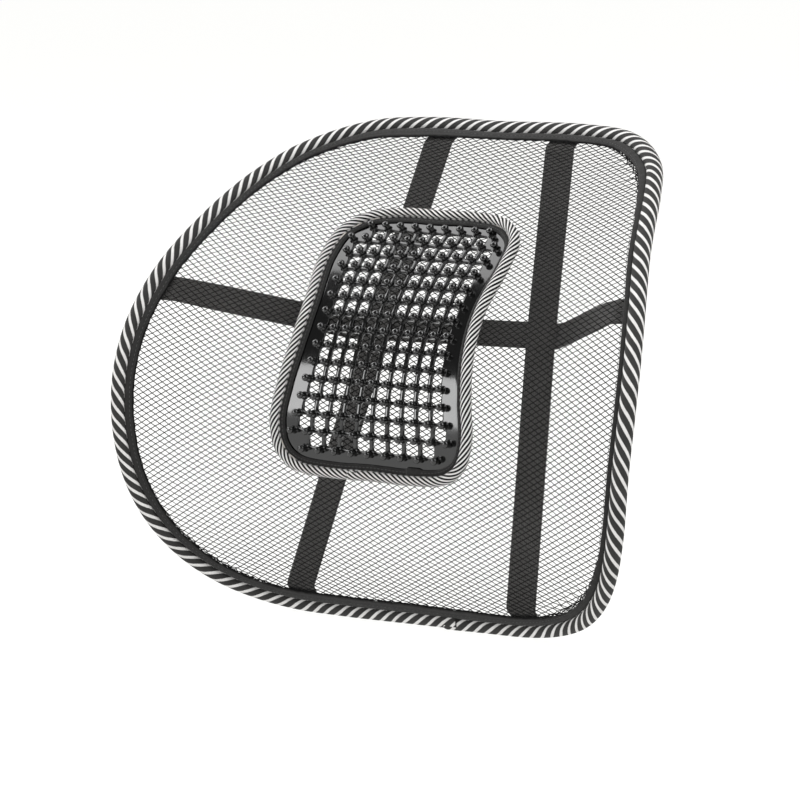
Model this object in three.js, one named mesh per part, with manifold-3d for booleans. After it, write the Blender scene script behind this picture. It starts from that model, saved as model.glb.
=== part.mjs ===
// Lumbar support cushion: a sprung wire hoop, bowed forward, that carries a stretched mesh panel with a
// massage plate in its middle. Elastic bands string the hoop from top to bottom, and a chair strap runs
// behind them. Millimetres, +Z up, the sitter's side faces -Y, and X = 0 is the outline's middle.
import * as THREE from "three";
import { TessellateModifier } from "three/addons/modifiers/TessellateModifier.js";
import { mergeVertices } from "three/addons/utils/BufferGeometryUtils.js";
import Module from "manifold-3d";

// ---- Driving dimensions -------------------------------------------------------------------------

// The whole support is a flat outline bent about the X axis. s is the distance along the bend, up from
// the outline's middle, and the surface leans back by leanAt(s), in radians from upright.
const MIDDLE_LEAN = THREE.MathUtils.degToRad(25);
const BOW = 0.0059; // curvature at the middle, in radians per mm
const BOW_FADE = -7.9e-6; // how it eases towards the top
const BOW_CUBIC = -1.7e-8;
const BEND_REACH = 240; // the bend is worked out this far up and down
const BEND_STEP = 1;
const MIDDLE_Y = -65.4; // the bend's middle, from the point on the ground under the support's centre
const MIDDLE_Z = 182.1;

// Centre line of the hoop, unbent: its right half, from the top centre down to the bottom centre.
const HOOP_HALF = [
  [0, 192], [60, 193], [100, 185.5], [133, 158.5], [151, 126.5], [169, 79], [185, 32.5], [193.5, -10],
  [194, -52], [184.5, -107], [165, -147], [136, -176], [98, -192], [50, -195], [0, -194.5],
];
const HOOP_STEPS = 56;

const WIRE_RADIUS = 2;
const WIRE_END_GAP = 1;
const FERRULE_RADIUS = 2.9;
const FERRULE_BORE = 2.35;
const FERRULE_LENGTH = 30;
const FOAM_BORE = 3.5;
const FOAM_RADIUS = 4.3;
const COVER_BORE = 4.65;
const COVER_RADIUS = 5.25;
const SLIT_ANGLE = THREE.MathUtils.degToRad(22); // half the opening of a slit sleeve

const BINDING_OUTER = 5.6; // the binding tape's edges, inward from the hoop's centre line
const BINDING_INNER = 11.2;
const BINDING_TAPE = 0.7; // thickness of the tape folded over the panel's edge
const PANEL_EDGE = 6.9;
const PANEL_THICKNESS = 0.8;
const CLEARANCE = 0.3;
const PANEL_SAG = 13; // the taut panel lies this far behind the hoop's surface at the massage plate

// Centre line of the piping round the massage plate, unbent: its right half, from the top down.
const PIPING_HALF = [
  [0, 106], [29, 106], [52, 101], [66, 87.5], [69, 66], [65.6, 30], [66.7, 0], [71, -30],
  [74, -54], [69, -72.8], [57, -82], [30, -85], [0, -84.5],
];
const PIPING_STEPS = 44;
const PIPING_CENTRE = new THREE.Vector2(0, 12);
const PIPING_RADIUS = 3.6;
const PIPING_BORE = 3.1;
const PIPING_CORD_RADIUS = 2.8;
const PIPING_HEIGHT = 4.4; // the piping's centre, in front of the panel
const PAD_TAPE = 0.6;
const PAD_TAPE_OUTER = 3.9; // the pad's binding tape, inward from the piping's centre line
const PAD_TAPE_INNER = 7.3;

const PLATE_EDGE = 4.8; // the plate's edge, inward from the piping's centre line
const PLATE_REAR = 0.8; // the plate's rear face, in front of the panel's middle
const PLATE_THICKNESS = 2;
const PIN_COLUMNS = 11;
const PIN_ROWS = 15;
const PIN_TOP_ROW = 92.5; // s of the first row
const ROW_PITCH = 11.6;
const TOP_PITCH = 11.5; // of the columns in the first row, at the waist and in the last row
const WAIST_PITCH = 9.7;
const BOTTOM_PITCH = 12.8;
const WAIST_ROW = 7;
const BAR_WIDTH = 2.4;
const PIN_HEIGHT = 6;
const PIN_BASE = 2.5; // corner radii of the square pins
const PIN_TIP = 2.3;
const PIN_ROOT = 1;
const PIN_SIDES = 4;
const PLATE_MAX_EDGE = 20; // the flat plate's edges are split to this before it is bent
const PLATE_MAX_SPLITS = 8;

const BAND_WIDTH = 22;
const STRAP_WIDTH = 17;
const ELASTIC_THICKNESS = 1.2;
const BAND_TOP_X = 46.8; // the bands' centres where they leave the hoop
const BAND_BOTTOM_X = 86.3;
const BAND_OFFSET = 3.5; // both bands are sewn this far to the right of the middle
const STRAP_BEND = 16; // the strap bends forward this far outside the bands' mean place
const BAND_PULL = 3; // the chair strap draws the bands this far forward where it crosses them
const BAND_TOP_S = 184.5; // where the bands are sewn behind the binding tape
const BAND_BOTTOM_S = -184;
const STRAP_S = 30; // how far up the strap crosses the bands
const STRAP_TILT = 0.02; // it rises this much per mm to the right
const STRAP_END_RISE = 1.7; // and its sewn ends are this much higher than its middle
const STRAP_TWIST = 22; // length over which it twists to the lean of the hoop's sides
const STRAP_END_X = 174.5;
const FLAP_DEPTH = 2.8; // sewn ends lie this far behind the panel
const FLAP_LENGTH = 7;

// ---- The bend -----------------------------------------------------------------------------------

const leanAt = (s) => MIDDLE_LEAN + s * (BOW + s * (BOW_FADE + s * BOW_CUBIC));

// Points of the bend in the YZ plane, one every BEND_STEP, from -BEND_REACH to BEND_REACH.
function bendPoints() {
  const points = new Map([[0, new THREE.Vector2(MIDDLE_Y, MIDDLE_Z)]]);
  for (const way of [1, -1]) {
    for (let i = 1; i <= BEND_REACH; i += 1) {
      const lean = leanAt(way * (i - 0.5) * BEND_STEP);
      const step = new THREE.Vector2(Math.sin(lean), Math.cos(lean)).multiplyScalar(way * BEND_STEP);
      points.set(way * i, points.get(way * (i - 1)).clone().add(step));
    }
  }
  return points;
}

const BEND = bendPoints();

// The place of a point of the unbent outline, at a height in front of the hoop's surface.
function bent(x, s, height) {
  const below = Math.floor(s / BEND_STEP);
  const spine = BEND.get(below).clone().lerp(BEND.get(below + 1), s / BEND_STEP - below);
  const lean = leanAt(s);
  return new THREE.Vector3(x, spine.x - height * Math.cos(lean), spine.y + height * Math.sin(lean));
}

// ---- Loops in the unbent outline ----------------------------------------------------------------

// A closed smooth curve through a right half and its mirror image, clockwise from the top centre.
function mirroredLoop(half) {
  const right = half.map(([x, s]) => new THREE.Vector3(x, s, 0));
  const left = half.slice(1, -1).reverse().map(([x, s]) => new THREE.Vector3(-x, s, 0));
  return new THREE.CatmullRomCurve3([...right, ...left], true, "centripetal");
}

const HOOP = mirroredLoop(HOOP_HALF);
const PIPING = mirroredLoop(PIPING_HALF);

// The point of a loop at a share of its length, moved outward in the unbent outline.
function loopPoint(loop, along, outward) {
  const share = along % 1;
  const point = loop.getPointAt(share);
  const tangent = loop.getTangentAt(share);
  return new THREE.Vector2(point.x - outward * tangent.y, point.y + outward * tangent.x);
}

const onHoop = (along, outward, height) => {
  const flat = loopPoint(HOOP, along, outward);
  return bent(flat.x, flat.y, height);
};

const onPiping = (along, outward, height) => {
  const flat = loopPoint(PIPING, along, outward);
  return bent(flat.x, flat.y, height - PANEL_SAG);
};

// ---- Building closed bodies ---------------------------------------------------------------------

// Keeps positions only, joins equal vertices and drops the triangles that this collapses.
function weld(geometry) {
  geometry.deleteAttribute("normal");
  geometry.deleteAttribute("uv");
  const welded = mergeVertices(geometry, 1e-4);
  const corners = welded.index.array;
  const kept = [];
  for (let i = 0; i < corners.length; i += 3) {
    const [a, b, c] = corners.slice(i, i + 3);
    if (a !== b && b !== c && c !== a) kept.push(a, b, c);
  }
  welded.setIndex(kept);
  return welded;
}

// A body all round a loop, from its counter-clockwise section. Each section point goes where
// place(along, section x, section y) puts it.
function loopBody(steps, section, place) {
  const profile = [...section].reverse();
  const geometry = new THREE.LatheGeometry(profile, steps);
  const position = geometry.attributes.position;
  for (let i = 0; i < position.count; i += 1) {
    const along = (Math.floor(i / profile.length) % steps) / steps;
    const { x, y } = profile[i % profile.length];
    position.setXYZ(i, ...place(along, x, y));
  }
  return weld(geometry);
}

// A body along one stretch of a loop, with closed ends.
function stretchBody(from, to, steps, shape, place) {
  const geometry = new THREE.ExtrudeGeometry(shape, { depth: 1, steps, bevelEnabled: false });
  const position = geometry.attributes.position;
  for (let i = 0; i < position.count; i += 1) {
    const along = from + (to - from) * position.getZ(i);
    position.setXYZ(i, ...place(along, position.getX(i), position.getY(i)));
  }
  return weld(geometry);
}

function ringPoints(radius, sides) {
  const circle = new THREE.EllipseCurve(0, 0, radius, radius, 0, 2 * Math.PI);
  return circle.getPoints(sides).slice(0, sides);
}

// A sleeve's section, slit open on the side that faces the middle of the loop.
function slitSleeve(bore, radius, sides) {
  const start = SLIT_ANGLE - Math.PI;
  const end = Math.PI - SLIT_ANGLE;
  const outside = new THREE.EllipseCurve(0, 0, radius, radius, start, end).getPoints(sides);
  const inside = new THREE.EllipseCurve(0, 0, bore, bore, end, start, true).getPoints(sides);
  return [...outside, ...inside, outside[0]];
}

const closed = (points) => {
  const corners = points.map(([x, y]) => new THREE.Vector2(x, y));
  return [...corners, corners[0]];
};

// A flat strip's edge-on outline: a line given its thickness, with mitred corners.
function stripShape(points, thickness) {
  const side = (sign) => points.map((point, i) => {
    const before = points[Math.max(i - 1, 0)];
    const after = points[Math.min(i + 1, points.length - 1)];
    const first = point.clone().sub(before).normalize();
    const second = after.clone().sub(point).normalize();
    const normal = new THREE.Vector2().addVectors(first, second).normalize();
    const mitre = Math.max(first.length() ? normal.dot(first) : 1, 0.5);
    const reach = (sign * thickness) / 2 / mitre;
    return new THREE.Vector2(point.x - normal.y * reach, point.y + normal.x * reach);
  });
  return new THREE.Shape([...side(-1), ...side(1).reverse()]);
}

function makeMesh(name, geometry, color, roughness, metalness = 0) {
  const mesh = new THREE.Mesh(geometry, new THREE.MeshStandardMaterial({ color, roughness, metalness }));
  mesh.name = name;
  return mesh;
}

// ---- The hoop and its edge ----------------------------------------------------------------------

function frameWire() {
  const gap = WIRE_END_GAP / 2 / HOOP.getLength();
  const section = new THREE.Shape(ringPoints(WIRE_RADIUS, 6));
  const geometry = stretchBody(0.5 + gap, 1.5 - gap, HOOP_STEPS, section, onHoop);
  return makeMesh("frame_wire", geometry, 0x9a9a98, 0.35, 0.9);
}

function wireFerrule() {
  const reach = FERRULE_LENGTH / 2 / HOOP.getLength();
  const section = new THREE.Shape(ringPoints(FERRULE_RADIUS, 12));
  section.holes.push(new THREE.Path(ringPoints(FERRULE_BORE, 12)));
  const geometry = stretchBody(0.5 - reach, 0.5 + reach, 2, section, onHoop);
  return makeMesh("wire_ferrule", geometry, 0x8a8a88, 0.4, 0.9);
}

function edgeFoamTube() {
  const geometry = loopBody(HOOP_STEPS, slitSleeve(FOAM_BORE, FOAM_RADIUS, 6), onHoop);
  return makeMesh("edge_foam_tube", geometry, 0x4a4a4a, 0.95);
}

function edgeRollCover() {
  const geometry = loopBody(HOOP_STEPS, slitSleeve(COVER_BORE, COVER_RADIUS, 8), onHoop);
  return makeMesh("edge_roll_cover", geometry, 0x38383a, 0.85);
}

// The black tape folded over the panel's edge: a U that opens towards the middle.
function edgeBindingTape() {
  const slot = PANEL_THICKNESS / 2 + CLEARANCE;
  const face = slot + BINDING_TAPE;
  const floor = BINDING_OUTER + BINDING_TAPE;
  const section = closed([
    [-BINDING_INNER, -face], [-BINDING_OUTER, -face], [-BINDING_OUTER, face], [-BINDING_INNER, face],
    [-BINDING_INNER, slot], [-floor, slot], [-floor, -slot], [-BINDING_INNER, -slot],
  ]);
  return makeMesh("edge_binding_tape", loopBody(HOOP_STEPS, section, onHoop), 0x1c1c1e, 0.8);
}

// ---- The mesh panel -----------------------------------------------------------------------------

// Stations across the panel: 0 is its centre, 1 the piping round the plate, 2 the mouth of the binding
// tape and 3 its edge inside the tape.
const PANEL_STATIONS = [0, 0.25, 0.5, 0.75, 1, 1.35, 1.7, 2, 3];

function onPanel(along, station, height) {
  const piping = loopPoint(PIPING, along, 0);
  if (station <= 1) {
    const flat = PIPING_CENTRE.clone().lerp(piping, station);
    return bent(flat.x, flat.y, height - PANEL_SAG);
  }
  const mouth = loopPoint(HOOP, along, -BINDING_INNER - CLEARANCE);
  if (station <= 2) {
    const flat = piping.lerp(mouth, station - 1);
    return bent(flat.x, flat.y, height - PANEL_SAG * (2 - station));
  }
  const flat = mouth.lerp(loopPoint(HOOP, along, -PANEL_EDGE), station - 2);
  return bent(flat.x, flat.y, height);
}

function meshPanel() {
  const half = PANEL_THICKNESS / 2;
  const rear = PANEL_STATIONS.map((station) => new THREE.Vector2(station, -half));
  const front = PANEL_STATIONS.map((station) => new THREE.Vector2(station, half));
  const geometry = loopBody(HOOP_STEPS, [...rear, ...front.reverse()], onPanel);
  return makeMesh("mesh_panel", geometry, 0x2a2a2c, 0.8);
}

// ---- The massage plate and its piping -----------------------------------------------------------

function columnPitch(row) {
  const end = row < WAIST_ROW ? TOP_PITCH : BOTTOM_PITCH;
  const fromWaist = Math.min(Math.abs(row - WAIST_ROW) / WAIST_ROW, 1);
  return WAIST_PITCH + (end - WAIST_PITCH) * fromWaist ** 2;
}

// The end rows leave out their corner pins.
const isPin = (column, row) => {
  const inside = column < PIN_COLUMNS && row < PIN_ROWS;
  const atEndRow = row === 0 || row === PIN_ROWS - 1;
  const atEndColumn = column === 0 || column === PIN_COLUMNS - 1;
  return inside && !(atEndRow && atEndColumn);
};

function pinPlace(column, row) {
  const x = (column - (PIN_COLUMNS - 1) / 2) * columnPitch(row);
  return new THREE.Vector2(x, PIN_TOP_ROW - row * ROW_PITCH);
}

// The lattice has a window between each four pins, and is left solid where one of them is missing.
const isWindow = (column, row) => isPin(column, row) && isPin(column + 1, row)
  && isPin(column, row + 1) && isPin(column + 1, row + 1);

// The block cut out of the flat slab for one window.
function windowBlock(column, row) {
  const half = BAR_WIDTH / 2;
  const corners = [[0, 0, 1, -1], [1, 0, -1, -1], [1, 1, -1, 1], [0, 1, 1, 1]];
  const outline = new THREE.Shape(corners.map(([right, down, inX, inS]) => {
    const place = pinPlace(column + right, row + down);
    return new THREE.Vector2(place.x + inX * half, place.y + inS * half);
  }));
  const block = new THREE.ExtrudeGeometry(outline, { depth: 2 * PLATE_THICKNESS, bevelEnabled: false });
  return block.translate(0, 0, -PLATE_THICKNESS / 2);
}

function pinPost(column, row) {
  const length = PIN_HEIGHT + PIN_ROOT;
  const place = pinPlace(column, row);
  const post = new THREE.CylinderGeometry(PIN_TIP, PIN_BASE, length, PIN_SIDES);
  post.rotateY(Math.PI / PIN_SIDES).rotateX(Math.PI / 2);
  return post.translate(place.x, place.y, PLATE_THICKNESS - PIN_ROOT + length / 2);
}

const wasm = await Module();
wasm.setup();

function toManifold(geometry) {
  const welded = weld(geometry);
  const vertProperties = new Float32Array(welded.attributes.position.array);
  const triVerts = new Uint32Array(welded.index.array);
  return new wasm.Manifold(new wasm.Mesh({ numProp: 3, vertProperties, triVerts }));
}

function fromManifold(manifold) {
  const { vertProperties, triVerts } = manifold.getMesh();
  const geometry = new THREE.BufferGeometry();
  geometry.setAttribute("position", new THREE.BufferAttribute(vertProperties, 3));
  geometry.setIndex([...triVerts]);
  return geometry;
}

// The lattice and its pins are moulded flat, and then the whole plate is bent.
function massagePlate() {
  const edge = [];
  for (let i = 0; i < PIPING_STEPS; i += 1) edge.push(loopPoint(PIPING, i / PIPING_STEPS, -PLATE_EDGE));
  const outline = new THREE.Shape(edge);
  const slab = new THREE.ExtrudeGeometry(outline, { depth: PLATE_THICKNESS, bevelEnabled: false });
  let plate = toManifold(slab);
  for (let row = 0; row < PIN_ROWS; row += 1) {
    for (let column = 0; column < PIN_COLUMNS; column += 1) {
      if (isWindow(column, row)) plate = plate.subtract(toManifold(windowBlock(column, row)));
      if (isPin(column, row)) plate = plate.add(toManifold(pinPost(column, row)));
    }
  }
  const splitter = new TessellateModifier(PLATE_MAX_EDGE, PLATE_MAX_SPLITS);
  const geometry = weld(splitter.modify(fromManifold(plate)));
  const position = geometry.attributes.position;
  for (let i = 0; i < position.count; i += 1) {
    const height = position.getZ(i) + PLATE_REAR - PANEL_SAG;
    position.setXYZ(i, ...bent(position.getX(i), position.getY(i), height));
  }
  return makeMesh("massage_plate", geometry, 0x161617, 0.25);
}

const onRaisedPiping = (along, outward, height) => onPiping(along, outward, height + PIPING_HEIGHT);

function padPipingCord() {
  const section = closed(ringPoints(PIPING_CORD_RADIUS, 6).map((point) => point.toArray()));
  return makeMesh("pad_piping_cord", loopBody(PIPING_STEPS, section, onRaisedPiping), 0xd8d4c8, 0.9);
}

function padPipingCover() {
  const section = slitSleeve(PIPING_BORE, PIPING_RADIUS, 6);
  return makeMesh("pad_piping_cover", loopBody(PIPING_STEPS, section, onRaisedPiping), 0x3a3a3c, 0.85);
}

// The tape between the piping and the plate: an L that covers the plate's edge.
function padBindingTape() {
  const front = PLATE_REAR + PLATE_THICKNESS + CLEARANCE;
  const section = closed([
    [-PAD_TAPE_OUTER, PLATE_REAR], [-PAD_TAPE_OUTER, front + PAD_TAPE],
    [-PAD_TAPE_INNER, front + PAD_TAPE], [-PAD_TAPE_INNER, front],
    [-PAD_TAPE_OUTER - PAD_TAPE, front], [-PAD_TAPE_OUTER - PAD_TAPE, PLATE_REAR],
  ]);
  return makeMesh("pad_binding_tape", loopBody(PIPING_STEPS, section, onPiping), 0x1a1a1c, 0.8);
}

// ---- The elastic bands and the chair strap ------------------------------------------------------

// The bands' sewn ends, in the YZ plane: a flap behind the binding tape and the point where it ends.
const sideView = (s, height) => {
  const place = bent(0, s, height);
  return new THREE.Vector2(place.y, place.z);
};
const BAND_TOP = [0, FLAP_LENGTH].map((along) => sideView(BAND_TOP_S - along, -FLAP_DEPTH));
const BAND_BOTTOM = [FLAP_LENGTH, 0].map((along) => sideView(BAND_BOTTOM_S + along, -FLAP_DEPTH));

// Directions in the plane that the bands lie in: up along it, and straight back from it.
const BAND_UP = BAND_TOP[1].clone().sub(BAND_BOTTOM[0]).normalize();
const BAND_BACK = new THREE.Vector2(BAND_UP.y, -BAND_UP.x);

// Where the strap crosses the bands.
const STRAP_HEIGHT = sideView(STRAP_S, -FLAP_DEPTH).sub(BAND_BOTTOM[0]).dot(BAND_UP);
const CROSSING = BAND_BOTTOM[0].clone()
  .addScaledVector(BAND_UP, STRAP_HEIGHT)
  .addScaledVector(BAND_BACK, -BAND_PULL);

const bandX = (z) => {
  const share = (BAND_TOP[0].y - z) / (BAND_TOP[0].y - BAND_BOTTOM[1].y);
  return THREE.MathUtils.lerp(BAND_TOP_X, BAND_BOTTOM_X, share);
};

function supportBand(name, side) {
  const shape = stripShape([...BAND_TOP, CROSSING, ...BAND_BOTTOM], ELASTIC_THICKNESS);
  const geometry = new THREE.ExtrudeGeometry(shape, { depth: BAND_WIDTH, bevelEnabled: false });
  const position = geometry.attributes.position;
  for (let i = 0; i < position.count; i += 1) {
    const across = position.getZ(i) - BAND_WIDTH / 2;
    const [y, z] = [position.getX(i), position.getY(i)];
    position.setXYZ(i, BAND_OFFSET + side * bandX(z) + across, y, z);
  }
  return makeMesh(name, weld(geometry), 0x2b2b2d, 0.85);
}

// The strap's path from left to right, as (x, distance behind the bands). It bends at their outer edges.
const STRAP_BEND_X = bandX(CROSSING.y) + STRAP_BEND;
const STRAP_TWIST_X = STRAP_END_X - FLAP_LENGTH - STRAP_TWIST;

function strapPath() {
  const end = sideView(STRAP_S, -FLAP_DEPTH).sub(CROSSING).dot(BAND_BACK);
  const behind = ELASTIC_THICKNESS + CLEARANCE;
  const twistShare = (STRAP_TWIST_X - STRAP_BEND_X) / (STRAP_END_X - FLAP_LENGTH - STRAP_BEND_X);
  const twist = THREE.MathUtils.lerp(behind, end, twistShare);
  const flap = [[STRAP_END_X - FLAP_LENGTH, end], [STRAP_END_X, end]];
  const right = [[STRAP_BEND_X, behind], [STRAP_TWIST_X, twist], ...flap];
  const left = right.map(([x, back]) => [-x, back]).reverse();
  return [...left, ...right].map(([x, back]) => new THREE.Vector2(x, back));
}

// The strap twists at its ends, from the bands' plane to the lean of the hoop's sides.
function strapUp(x) {
  const share = THREE.MathUtils.smoothstep(Math.abs(x), STRAP_TWIST_X, STRAP_END_X - FLAP_LENGTH);
  const sideLean = leanAt(STRAP_S);
  return BAND_UP.clone().lerp(new THREE.Vector2(Math.sin(sideLean), Math.cos(sideLean)), share);
}

function chairStrap() {
  const shape = stripShape(strapPath(), ELASTIC_THICKNESS);
  const geometry = new THREE.ExtrudeGeometry(shape, { depth: STRAP_WIDTH, bevelEnabled: false });
  const position = geometry.attributes.position;
  for (let i = 0; i < position.count; i += 1) {
    const x = position.getX(i);
    const outside = Math.max(Math.abs(x) - STRAP_BEND_X, 0) / (STRAP_END_X - STRAP_BEND_X);
    const rise = STRAP_TILT * x + STRAP_END_RISE * outside;
    const place = CROSSING.clone()
      .addScaledVector(BAND_BACK, position.getY(i))
      .addScaledVector(strapUp(x), rise + position.getZ(i) - STRAP_WIDTH / 2);
    position.setXYZ(i, x, place.x, place.y);
  }
  return makeMesh("chair_strap", weld(geometry), 0x2b2b2d, 0.85);
}

// ---- The assembly -------------------------------------------------------------------------------

const support = new THREE.Group();
support.add(
  frameWire(),
  wireFerrule(),
  edgeFoamTube(),
  edgeRollCover(),
  edgeBindingTape(),
  meshPanel(),
  massagePlate(),
  padPipingCord(),
  padPipingCover(),
  padBindingTape(),
  supportBand("support_band_left", -1),
  supportBand("support_band_right", 1),
  chairStrap(),
);

export default support;
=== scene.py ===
"""Looks of the lumbar support cushion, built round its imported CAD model. Metres, +Z up, front towards -Y."""
import math

import bmesh
import bpy
import numpy as np
from mathutils import Matrix, Quaternion, Vector


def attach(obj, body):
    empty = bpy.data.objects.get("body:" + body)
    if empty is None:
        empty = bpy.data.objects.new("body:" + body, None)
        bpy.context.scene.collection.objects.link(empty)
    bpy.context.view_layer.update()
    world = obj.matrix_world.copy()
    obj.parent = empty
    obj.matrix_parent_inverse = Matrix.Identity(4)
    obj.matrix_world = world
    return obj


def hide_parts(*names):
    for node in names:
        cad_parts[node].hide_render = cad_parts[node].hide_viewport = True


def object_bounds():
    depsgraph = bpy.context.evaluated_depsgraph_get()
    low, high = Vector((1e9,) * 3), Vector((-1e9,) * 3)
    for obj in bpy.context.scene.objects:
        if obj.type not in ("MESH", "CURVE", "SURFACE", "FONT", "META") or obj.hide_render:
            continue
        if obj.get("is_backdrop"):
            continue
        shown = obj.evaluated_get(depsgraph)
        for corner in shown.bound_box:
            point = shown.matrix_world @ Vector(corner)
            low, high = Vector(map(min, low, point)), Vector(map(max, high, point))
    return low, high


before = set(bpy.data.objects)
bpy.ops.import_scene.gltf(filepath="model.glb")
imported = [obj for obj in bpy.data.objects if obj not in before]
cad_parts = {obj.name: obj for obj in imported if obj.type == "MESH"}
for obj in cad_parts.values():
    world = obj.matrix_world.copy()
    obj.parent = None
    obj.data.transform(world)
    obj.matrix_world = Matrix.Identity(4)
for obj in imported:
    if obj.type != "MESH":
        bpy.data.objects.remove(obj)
CAD_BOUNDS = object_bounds()
MM = 0.001
TAU = 2 * math.pi

# ---- Driving dimensions ----
# The CAD model's, apart from the two tapes' outer edges, which run on under the rolls.

MIDDLE_LEAN = math.radians(25)
BOW = 0.0059  # radians per mm, as are the next two
BOW_FADE = -7.9e-6
BOW_CUBIC = -1.7e-8
BEND_REACH = 240
MIDDLE_Y = -65.4
MIDDLE_Z = 182.1

HOOP_HALF = [
    (0, 192), (60, 193), (100, 185.5), (133, 158.5), (151, 126.5), (169, 79), (185, 32.5), (193.5, -10),
    (194, -52), (184.5, -107), (165, -147), (136, -176), (98, -192), (50, -195), (0, -194.5),
]
PIPING_HALF = [
    (0, 106), (29, 106), (52, 101), (66, 87.5), (69, 66), (65.6, 30), (66.7, 0), (71, -30),
    (74, -54), (69, -72.8), (57, -82), (30, -85), (0, -84.5),
]
PIPING_CENTRE_S = 12 * MM

ROLL_RADIUS = 5.25 * MM
BINDING_OUTER = 4.9 * MM
BINDING_INNER = 11.2 * MM
PANEL_SAG = 13 * MM
PIPING_RADIUS = 3.6 * MM
PIPING_HEIGHT = 4.4 * MM
PAD_TAPE_OUTER = 3.0 * MM

PLATE_EDGE = 4.8 * MM
PLATE_REAR = 0.8 * MM
PLATE_THICKNESS = 2 * MM
PIN_COLUMNS = 11
PIN_ROWS = 15
PIN_TOP_ROW = 92.5 * MM
ROW_PITCH = 11.6 * MM
TOP_PITCH = 11.5 * MM
WAIST_PITCH = 9.7 * MM
BOTTOM_PITCH = 12.8 * MM
WAIST_ROW = 7
BAR_WIDTH = 2.4 * MM

BAND_WIDTH = 22 * MM
STRAP_WIDTH = 17 * MM
ELASTIC_THICKNESS = 1.2 * MM
BAND_OFFSET = 3.5 * MM
BAND_TOP_X = 46.8 * MM
BAND_BOTTOM_X = 86.3 * MM
BAND_PULL = 3 * MM
BAND_TOP_S = 184.5 * MM
BAND_BOTTOM_S = -184 * MM
STRAP_BEND = 16 * MM
STRAP_S = 30 * MM
STRAP_END_X = 174.5 * MM
STRAP_TILT = 0.02
STRAP_END_RISE = 1.7 * MM
STRAP_TWIST = 22 * MM
STRAP_GAP = 0.3 * MM
FLAP_DEPTH = 2.8 * MM
FLAP_LENGTH = 7 * MM

# ---- Looks ----

ROLL_STRIPE_PERIOD = 8.93 * MM
ROLL_STRIPE_SLANT = 1.3
PIPING_STRIPE_PERIOD = 4.54 * MM
PIPING_STRIPE_SLANT = -1.7
DIAMOND_WIDTH = 6.75 * MM
DIAMOND_HEIGHT = 3.85 * MM
YARN_WIDTH = 0.6 * MM
YARN_THICKNESS = 0.6 * MM

# ---- The bend and the loops ----


def lean_at(s):
    mm = s / MM
    return MIDDLE_LEAN + mm * (BOW + mm * (BOW_FADE + mm * BOW_CUBIC))


def bend_line():
    """Stations s along the bend, and its points (y, z), one every millimetre."""
    stations = np.arange(-BEND_REACH, BEND_REACH + 1) * MM
    lean = lean_at(stations[:-1] + MM / 2)
    y = np.concatenate([[0], np.cumsum(np.sin(lean))]) * MM
    z = np.concatenate([[0], np.cumsum(np.cos(lean))]) * MM
    y += MIDDLE_Y * MM - y[BEND_REACH]
    z += MIDDLE_Z * MM - z[BEND_REACH]
    return stations, y, z


BEND_S, BEND_Y, BEND_Z = bend_line()


def bent(x, s, height):
    """Places of points of the unbent outline, at heights in front of the hoop's surface."""
    x, s, height = np.broadcast_arrays(x, s, height)
    lean = lean_at(s)
    y = np.interp(s, BEND_S, BEND_Y) - height * np.cos(lean)
    z = np.interp(s, BEND_S, BEND_Z) + height * np.sin(lean)
    return np.stack([x, y, z], axis=-1)


def catmull_rom(corners, steps):
    """A closed centripetal Catmull-Rom curve through the corners."""
    count = len(corners)
    line = []
    for i in range(count):
        p0, p1, p2, p3 = (corners[(i + k) % count] for k in (-1, 0, 1, 2))
        d0, d1, d2 = (math.sqrt(np.linalg.norm(b - a)) for a, b in ((p0, p1), (p1, p2), (p2, p3)))
        start = ((p1 - p0) / d0 - (p2 - p0) / (d0 + d1) + (p2 - p1) / d1) * d1
        end = ((p2 - p1) / d1 - (p3 - p1) / (d1 + d2) + (p3 - p2) / d2) * d1
        for t in np.arange(steps) / steps:
            square = -3 * p1 + 3 * p2 - 2 * start - end
            cube = 2 * p1 - 2 * p2 + start + end
            line.append(p1 + start * t + square * t**2 + cube * t**3)
    return np.array(line)


class Loop:
    """A closed loop in the unbent outline, clockwise from the top centre, measured in metres."""

    def __init__(self, half):
        mirrored = [(-x, s) for x, s in half[1:-1]][::-1]
        line = catmull_rom(np.array(half + mirrored, float) * MM, 40)
        self.line = np.vstack([line, line[:1]])
        steps = np.linalg.norm(np.diff(self.line, axis=0), axis=1)
        self.run = np.concatenate([[0], np.cumsum(steps)])
        self.length = self.run[-1]

    def point(self, along):
        share = np.mod(along, self.length)
        return np.stack([np.interp(share, self.run, self.line[:, k]) for k in (0, 1)], axis=-1)

    def flat(self, along, outward):
        """Points moved outward from the loop, in the unbent outline."""
        along, outward = np.broadcast_arrays(along, outward)
        step = 1.5 * MM
        tangent = self.point(along + step) - self.point(along - step)
        tangent /= np.linalg.norm(tangent, axis=-1, keepdims=True)
        out = np.stack([-tangent[..., 1], tangent[..., 0]], axis=-1)
        return self.point(along) + out * outward[..., None]

    def place(self, along, outward, height):
        flat = self.flat(along, outward)
        return bent(flat[..., 0], flat[..., 1], height)


HOOP = Loop(HOOP_HALF)
PIPING = Loop(PIPING_HALF)

CHUNK = 4000  # points measured against an outline at a time


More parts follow.
